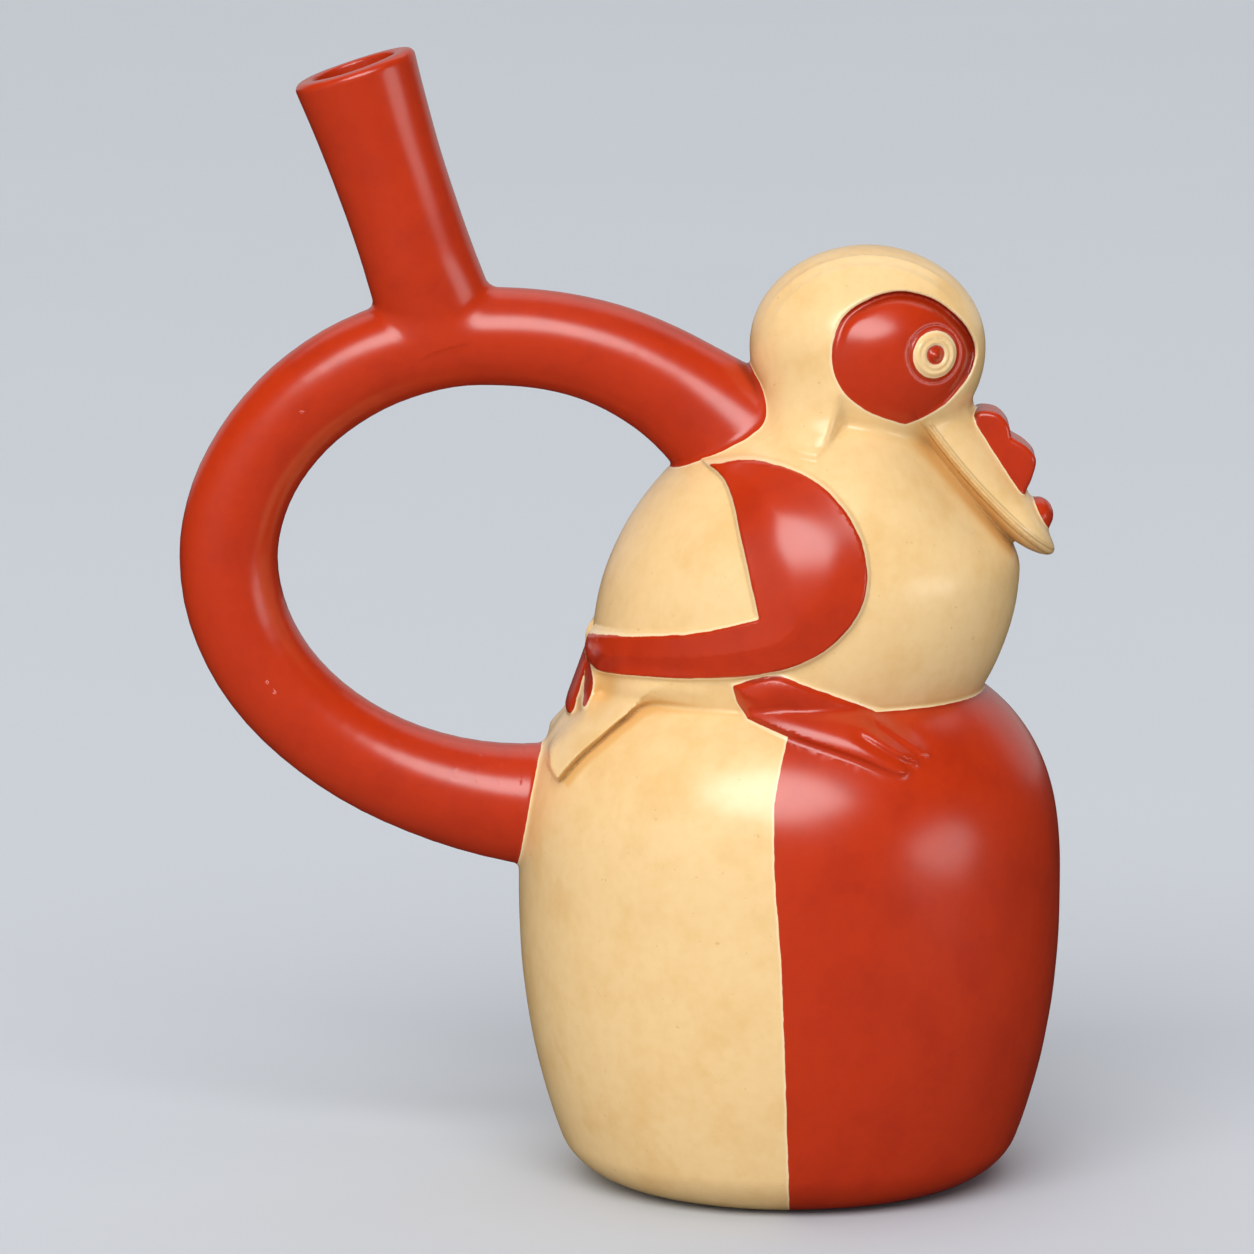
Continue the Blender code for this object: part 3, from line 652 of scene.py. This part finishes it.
SPLIT_LEVELS = (0.0, 27.5, 51.8, 73.8, 85.5, 92.9, 98.0)
SPLIT_PLACES = (-0.4, -1.4, -2.3, -3.9, -3.8, -2.3, -0.8)


def red_depth(points):
    """How far inside the red slip a point is, in mm: negative in the cream."""
    x, y, z = points[:, 0], np.abs(points[:, 1]), points[:, 2]
    view = side_view(x, z)
    _, made = outside(x, y, z, view)
    duck = np.minimum(made["body"], np.minimum(made["upper"], made["head"]))
    front = np.minimum(x - np.interp(z, SPLIT_LEVELS, SPLIT_PLACES), duck - made["chamber"] - 0.35)
    face = np.minimum(np.minimum(made["upper"], made["lower"]), made["head"])
    areas = [
        made["shell"] - made["tubes"] - 0.2 + 0.7 * ramp(x, -40.0, -20.0),
        front,
        np.minimum(view["wing"] - 0.35, y - 4.9),
        np.minimum(view["leg"] - 0.1, y - 12.0),
        np.minimum(view["patch"] - 0.05, y - 5.0),
        np.minimum(face - made["comb"] - 0.15, view["comb"] + 2.0),
        np.minimum(face - made["nail"] - 0.15, 2.0 - made["nail"]),
        np.minimum(view["feather"], y - 8.0),
        np.minimum(made["plain"] - made["quill"] - 0.4, 2.0 - made["quill"]),
    ]
    eye = eye_distance(x, y, z)
    on_eye = y > 10.0
    red = np.maximum.reduce(areas)
    red = np.where(on_eye, np.minimum(red, eye - RING_RADIUS), red)
    return np.where(on_eye, np.maximum(red, PUPIL_RADIUS - eye), red)


def attribute(mesh, name, values):
    mesh.attributes.new(name, "FLOAT", "POINT").data.foreach_set("value", values.astype(np.float32))


def burnished_bottle():
    """The whole bottle, with small triangles on its edges and relief and large ones where it is smooth."""
    points, quads = net(*sampled())
    mesh = bare_mesh("half", points, quads)
    half = bpy.data.objects.new("half", mesh)
    bpy.context.scene.collection.objects.link(half)
    start, facing = settled(points, 1)
    joined = np.stack([quads.ravel(), np.roll(quads, -1, axis=1).ravel()], 1)
    turn = 1.0 - (facing[joined[:, 0]] * facing[joined[:, 1]]).sum(1)
    bend = np.zeros(len(points))
    np.maximum.at(bend, joined[:, 0], turn)
    np.maximum.at(bend, joined[:, 1], turn)
    freedom = np.where(inside_wall(start), 1.0, 0.8 - 0.7 * ramp(bend, 0.004, 0.06))
    mesh.vertices.foreach_set("co", start.astype(np.float32).ravel())
    keep = half.vertex_groups.new(name="free")
    for level in np.unique(np.round(freedom, 1)):
        keep.add(np.flatnonzero(np.round(freedom, 1) == level).tolist(), float(level), "REPLACE")
    thin = half.modifiers.new("thin", "DECIMATE")
    thin.ratio = MOST_TRIANGLES / 2.0 / (2.0 * len(quads))
    thin.vertex_group = keep.name
    thin.use_collapse_triangulate = True
    bpy.context.view_layer.update()
    thinned = bpy.data.meshes.new_from_object(half.evaluated_get(bpy.context.evaluated_depsgraph_get()))
    count = len(thinned.vertices)
    points = np.empty(count * 3)
    thinned.vertices.foreach_get("co", points)
    points = points.reshape(-1, 3)
    faces = np.empty(len(thinned.polygons) * 3, np.int32)
    thinned.polygons.foreach_get("vertices", faces)
    faces = faces.reshape(-1, 3)
    bpy.data.objects.remove(half, do_unlink=True)
    points[np.abs(points[:, 1]) < 0.02, 1] = 0.0
    points, facing = settled(points)
    return mirrored(points, faces, facing)


def inside_wall(points):
    """Which points are on the hollow's wall, out of sight below the mouth."""
    x, y, z = points[:, 0], np.abs(points[:, 1]), points[:, 2]
    view = side_view(x, z)
    near = np.abs(inside(x, y, z, view)) < np.abs(outside(x, y, z, view)[0])
    return near & (view["spout_run"] < SPOUT_LENGTH - 30.0)


def mirrored(points, faces, facing):
    """Both sides of the bottle, with the slips' borders, the nooks for painted shade and the gape noted at
    each point.
    """
    count = len(points)
    middle = points[:, 1] == 0.0
    other = np.where(middle, np.arange(count), count + np.cumsum(~middle) - 1)
    flip = np.array((1.0, -1.0, 1.0))
    low, high = np.array(cad_box) / MM
    everything = np.clip(np.vstack([points, points[~middle] * flip]), low, high)
    ways = np.vstack([facing, facing[~middle] * flip])
    mesh = bare_mesh("bottle", everything * MM, np.vstack([faces, other[faces][:, ::-1]]))
    x, y, z = points[:, 0], points[:, 1], points[:, 2]
    view = side_view(x, z)
    outer = outside(x, y, z, view)[0]
    within = inside(x, y, z, view)
    # How far into a nook each point sits, from the distance a little way out along its facing: it sets the
    # painted shade.
    open_air = distance_at(points + 2.5 * facing) / 2.5
    upper, lower = bill(x, y, z)
    notes = {
        "red_depth": red_depth(points),
        "nook_shade": 1.0 - open_air,
        "bore": outer - within,
        "gape": bill_places(x, z)[2],
        "on_bill": 1.0 - ramp(np.minimum(upper, lower), 0.2, 0.9),
    }
    for name, values in notes.items():
        attribute(mesh, name, np.concatenate([values, values[~middle]]))
    mesh.polygons.foreach_set("use_smooth", np.ones(len(mesh.polygons), bool))
    mesh.normals_split_custom_set_from_vertices(ways)
    made = bpy.data.objects.new("burnished_bottle", mesh)
    bpy.context.scene.collection.objects.link(made)
    return made


bottle = burnished_bottle()

# The slips' colours and burnish
# Both slips are fine clay rubbed to a shine before firing. The red is even, with faint rubbing marks and no
# specks. The cream has a fine mottling and a few specks. In the nooks both are painted darker, the cream
# warmer: that is painted shade. A scale counts the waves in a metre.

# The second red and the second cream are painted shade, mixed in where a nook is deep.
RED_SLIP, SHADED_RED = (0.49, 0.028, 0.0005), (0.27, 0.013, 0.0005)
CREAM_SLIP, SHADED_CREAM = (0.84, 0.575, 0.27), (0.74, 0.43, 0.15)
RED_CLOUD, CREAM_CLOUD, CREAM_SPECK = (0.41, 0.021, 0.001), (0.77, 0.48, 0.19), (0.50, 0.20, 0.05)
PALE_LINE = (0.92, 0.75, 0.47)
BARE_CLAY = (0.30, 0.075, 0.03)
CLOUD_SCALE, GRAIN_SCALE, SPECK_SCALE = 85.0, 420.0, 800.0
BORDER_SCALE, RUBBING_SCALE = 260.0, 140.0
SWELL_SCALE, SCRATCH_SCALE = 90.0, 600.0
SWELL_HEIGHT, SCRATCH_SHARE, LIP_RIDGE_HEIGHT = 0.085, 0.08, 0.34
COAT_ROUGHNESS, COAT_IOR = 0.26, 1.6


def shader_node(tree, kind, values=None, **settings):
    made = tree.nodes.new(kind)
    for name, value in settings.items():
        setattr(made, name, value)
    for name, value in (values or {}).items():
        made.inputs[name].default_value = value
    return made


def feed(tree, output, made, name):
    tree.links.new(output, made.inputs[name])


def between(tree, value, start, end):
    """0 below start and 1 above end, with a soft change between them."""
    limits = {"From Min": start, "From Max": end}
    made = shader_node(tree, "ShaderNodeMapRange", limits, interpolation_type="SMOOTHSTEP")
    feed(tree, value, made, "Value")
    return made.outputs["Result"]


def mixed(tree, share, first, second, blend="MIX"):
    """Two colours mixed by a share. Either is a plain colour or another node's output."""
    made = shader_node(tree, "ShaderNodeMix", data_type="RGBA", blend_type=blend)
    for value, socket in ((first, made.inputs[6]), (second, made.inputs[7])):
        if isinstance(value, tuple):
            socket.default_value = (*value, 1.0)
        else:
            tree.links.new(value, socket)
    if isinstance(share, float):
        made.inputs[0].default_value = share
    else:
        tree.links.new(share, made.inputs[0])
    return made.outputs[2]


def sum_of(tree, first, second, operation="ADD"):
    made = shader_node(tree, "ShaderNodeMath", operation=operation)
    for value, socket in ((first, made.inputs[0]), (second, made.inputs[1])):
        if isinstance(value, float):
            socket.default_value = value
        else:
            tree.links.new(value, socket)
    return made.outputs[0]


def noise(tree, places, scale, detail=3.0, roughness=0.55):
    made = shader_node(tree, "ShaderNodeTexNoise", {"Scale": scale, "Detail": detail, "Roughness": roughness})
    feed(tree, places, made, "Vector")
    return made.outputs["Fac"]


def noted(tree, name):
    return shader_node(tree, "ShaderNodeAttribute", attribute_name=name).outputs["Fac"]


def mottling_group():
    """Slow clouds, fine grain and a few specks in a slip's colour."""
    tree = bpy.data.node_groups.new("slip mottling", "ShaderNodeTree")
    for name in ("Slip", "Cloud", "Speck"):
        tree.interface.new_socket(name, in_out="INPUT", socket_type="NodeSocketColor")
    for name in ("Clouds", "Specks"):
        tree.interface.new_socket(name, in_out="INPUT", socket_type="NodeSocketFloat")
    tree.interface.new_socket("Color", in_out="OUTPUT", socket_type="NodeSocketColor")
    given, result = tree.nodes.new("NodeGroupInput"), tree.nodes.new("NodeGroupOutput")
    places = tree.nodes.new("ShaderNodeTexCoord").outputs["Object"]
    cloud = between(tree, noise(tree, places, CLOUD_SCALE, 4.0), 0.42, 0.72)
    grain = between(tree, noise(tree, places, GRAIN_SCALE, 3.0), 0.35, 0.75)
    speck = between(tree, noise(tree, places, SPECK_SCALE, 1.0), 0.74, 0.79)
    patchy = sum_of(tree, cloud, sum_of(tree, grain, 0.45, "MULTIPLY"))
    patchy = sum_of(tree, patchy, given.outputs["Clouds"], "MULTIPLY")
    colour = mixed(tree, patchy, given.outputs["Slip"], given.outputs["Cloud"])
    spotted = sum_of(tree, speck, given.outputs["Specks"], "MULTIPLY")
    feed(tree, mixed(tree, spotted, colour, given.outputs["Speck"]), result, "Color")
    return tree


def mottled(tree, group, slip, cloud, speck, clouds, specks):
    made = shader_node(tree, "ShaderNodeGroup", node_tree=group)
    for name, colour in (("Slip", slip), ("Cloud", cloud), ("Speck", speck)):
        made.inputs[name].default_value = (*colour, 1.0)
    made.inputs["Clouds"].default_value = clouds
    made.inputs["Specks"].default_value = specks
    return made.outputs["Color"]


def lip_ridges(tree):
    """Two fine ridges along the gape, as a height in mm."""
    height = 0.0
    for middle in (-0.55, 0.75):
        away = sum_of(tree, sum_of(tree, noted(tree, "gape"), -middle), 0.0, "ABSOLUTE")
        height = sum_of(tree, between(tree, away, 0.5, 0.0), height)
    height = sum_of(tree, height, LIP_RIDGE_HEIGHT, "MULTIPLY")
    return sum_of(tree, height, noted(tree, "on_bill"), "MULTIPLY")


def slip_painted_clay():
    material = bpy.data.materials.new("slip_painted_clay")
    material.use_nodes = True
    tree = material.node_tree
    shader = tree.nodes["Principled BSDF"]
    places = tree.nodes.new("ShaderNodeTexCoord").outputs["Object"]
    group = mottling_group()
    hand = sum_of(tree, sum_of(tree, noise(tree, places, BORDER_SCALE, 3.0), -0.5), 0.5, "MULTIPLY")
    depth = sum_of(tree, noted(tree, "red_depth"), hand)
    is_red = between(tree, depth, -0.07, 0.07)
    nook_shade = noted(tree, "nook_shade")
    cream = mottled(tree, group, CREAM_SLIP, CREAM_CLOUD, CREAM_SPECK, 0.65, 0.3)
    # Painted shade: the cream turns warmer and darker in the nooks.
    cream = mixed(tree, between(tree, nook_shade, 0.12, 0.75), cream, SHADED_CREAM)
    line = sum_of(tree, between(tree, depth, -0.6, -0.2), 0.55, "MULTIPLY")
    cream = mixed(tree, line, cream, PALE_LINE)
    red = mottled(tree, group, RED_SLIP, RED_CLOUD, RED_CLOUD, 0.6, 0.0)
    # Painted shade: the red turns darker in the nooks.
    red = mixed(tree, between(tree, nook_shade, 0.15, 0.8), red, SHADED_RED)
    colour = mixed(tree, is_red, cream, red)
    bore = between(tree, noted(tree, "bore"), 1.0, 3.0)
    feed(tree, mixed(tree, bore, colour, BARE_CLAY), shader, "Base Color")
    rubbed = between(tree, noise(tree, places, RUBBING_SCALE, 5.0, 0.6), 0.3, 0.8)
    made = shader_node(tree, "ShaderNodeMapRange", {"To Min": 0.38, "To Max": 0.5})
    feed(tree, rubbed, made, "Value")
    feed(tree, made.outputs["Result"], shader, "Roughness")
    shader.inputs["IOR"].default_value = 1.5
    shader.inputs["Specular IOR Level"].default_value = 0.02
    shader.inputs["Coat Weight"].default_value = 1.0
    shader.inputs["Coat IOR"].default_value = COAT_IOR
    shader.inputs["Coat Roughness"].default_value = COAT_ROUGHNESS
    scratches = sum_of(tree, noise(tree, places, SCRATCH_SCALE, 2.0), SCRATCH_SHARE, "MULTIPLY")
    height = sum_of(tree, noise(tree, places, SWELL_SCALE, 4.0), scratches)
    height = sum_of(tree, height, SWELL_HEIGHT, "MULTIPLY")
    height = sum_of(tree, height, lip_ridges(tree))
    bump = shader_node(tree, "ShaderNodeBump", {"Strength": 1.0, "Distance": MM})
    feed(tree, height, bump, "Height")
    feed(tree, bump.outputs["Normal"], shader, "Normal")
    return material


bottle.data.materials.append(slip_painted_clay())
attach(bottle, "root")
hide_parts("bottle")

# The floor and the backdrop
# One sheet of pale blue-grey paper that sweeps up behind the bottle.

PAPER = (0.56, 0.585, 0.62)
PAPER_FLAT, PAPER_BEND, PAPER_TOP = 3.2, 0.8, 1.1


def paper_sweep(sides=96):
    rim = [(PAPER_FLAT + PAPER_BEND * math.sin(turn), PAPER_BEND * (1.0 - math.cos(turn)))
           for turn in np.linspace(0.0, math.pi / 2.0, 10)]
    rings = [(0.4, 0.0)] + rim + [(PAPER_FLAT + PAPER_BEND, PAPER_TOP)]
    turns = [math.tau * side / sides for side in range(sides)]
    places = [(0.0, 0.0, 0.0)]
    places += [(out * math.cos(turn), out * math.sin(turn), up) for out, up in rings for turn in turns]
    faces = [(0, 1 + side, 1 + (side + 1) % sides) for side in range(sides)]
    for ring in range(len(rings) - 1):
        first = 1 + ring * sides
        for side in range(sides):
            beside = (side + 1) % sides
            faces.append((first + side, first + sides + side, first + sides + beside, first + beside))
    mesh = bpy.data.meshes.new("paper_sweep")
    mesh.from_pydata(places, [], faces)
    mesh.polygons.foreach_set("use_smooth", np.ones(len(mesh.polygons), bool))
    material = bpy.data.materials.new("pale_paper")
    material.use_nodes = True
    tree = material.node_tree
    shader = tree.nodes["Principled BSDF"]
    places = tree.nodes.new("ShaderNodeTexCoord").outputs["Object"]
    tone = between(tree, noise(tree, places, 3.0), 0.2, 0.8)
    feed(tree, mixed(tree, tone, PAPER, tuple(0.985 * part for part in PAPER)), shader, "Base Color")
    shader.inputs["Roughness"].default_value = 0.8
    shader.inputs["Specular IOR Level"].default_value = 0.0
    mesh.materials.append(material)
    made = bpy.data.objects.new("paper_sweep", mesh)
    made.visible_glossy = False
    bpy.context.scene.collection.objects.link(made)
    return made


paper_sweep()

# The light
# A wide soft box above the camera, a softer one on the left, a strip on the right, dim ones in front, behind
# and overhead, and a pale board behind that shows only in the gloss of the rims. The room around them is
# dark, and its walls only lift the shadows.


def soft_box(name, around, up, distance, wide, tall, radiance, in_reflections=True, in_diffuse=True):
    """An oval light that faces the bottle. Its place and size are angles in degrees, seen from the bottle."""
    middle = Vector((-0.02, 0.0, 0.11))
    around, up = math.radians(around), math.radians(up)
    toward = Vector((math.sin(around) * math.cos(up), -math.cos(around) * math.cos(up), math.sin(up)))
    light = bpy.data.lights.new(name, "AREA")
    light.shape = "ELLIPSE"
    light.size = 2.0 * distance * math.tan(math.radians(wide / 2.0))
    light.size_y = 2.0 * distance * math.tan(math.radians(tall / 2.0))
    light.energy = radiance * math.pi * light.size * light.size_y * math.pi / 4.0
    made = bpy.data.objects.new(name, light)
    made.location = middle + toward * distance
    made.rotation_euler = (-toward).to_track_quat("-Z", "Y").to_euler()
    made.visible_camera = False
    made.visible_glossy = in_reflections
    made.visible_diffuse = in_diffuse
    bpy.context.scene.collection.objects.link(made)


soft_box("key", -8.0, 42.0, 12.0, 55.5, 31.5, 6.0)
soft_box("left", -50.0, 5.0, 3.0, 55.5, 55.5, 1.3, in_reflections=False)
soft_box("side", 67.0, 3.0, 3.0, 33.6, 18.0, 2.4)
soft_box("front", -19.0, 3.0, 3.0, 49.0, 20.3, 0.35, in_reflections=False)
soft_box("back", 180.0, 55.0, 12.0, 76.6, 33.6, 0.8)
soft_box("top", 0.0, 88.0, 12.0, 44.7, 44.7, 1.0, in_reflections=False)
soft_box("rims", 180.0, 18.0, 3.0, 100.0, 44.0, 0.42, in_diffuse=False)

world = bpy.data.worlds.new("dark_room")
bpy.context.scene.world = world
world.use_nodes = True
room = world.node_tree
backdrop = room.nodes["Background"]
backdrop.inputs["Color"].default_value = (0.95, 0.97, 1.0, 1.0)
seen = room.nodes.new("ShaderNodeMapRange")
seen.inputs["To Min"].default_value = 0.30
seen.inputs["To Max"].default_value = 0.01
room.links.new(room.nodes.new("ShaderNodeLightPath").outputs["Is Glossy Ray"], seen.inputs["Value"])
room.links.new(seen.outputs["Result"], backdrop.inputs["Strength"])
bpy.context.scene.view_settings.view_transform = "Standard"

# The camera
# A long lens, ten degrees above level and square to the duck's side.

VIEW_HEIGHT, VIEW_DISTANCE, VIEW_SPAN = math.radians(10.0), 2.0, 0.2508
AIM = Vector((-0.0326, 0.0, 0.11176))
camera_data = bpy.data.cameras.new("camera")
camera = bpy.data.objects.new("camera", camera_data)
bpy.context.scene.collection.objects.link(camera)
camera_data.sensor_width = 36.0
camera_data.lens = camera_data.sensor_width * VIEW_DISTANCE / VIEW_SPAN
camera.location = AIM + Vector((0.0, -math.cos(VIEW_HEIGHT), math.sin(VIEW_HEIGHT))) * VIEW_DISTANCE
camera.rotation_euler = (AIM - camera.location).to_track_quat("-Z", "Y").to_euler()
bpy.context.scene.camera = camera
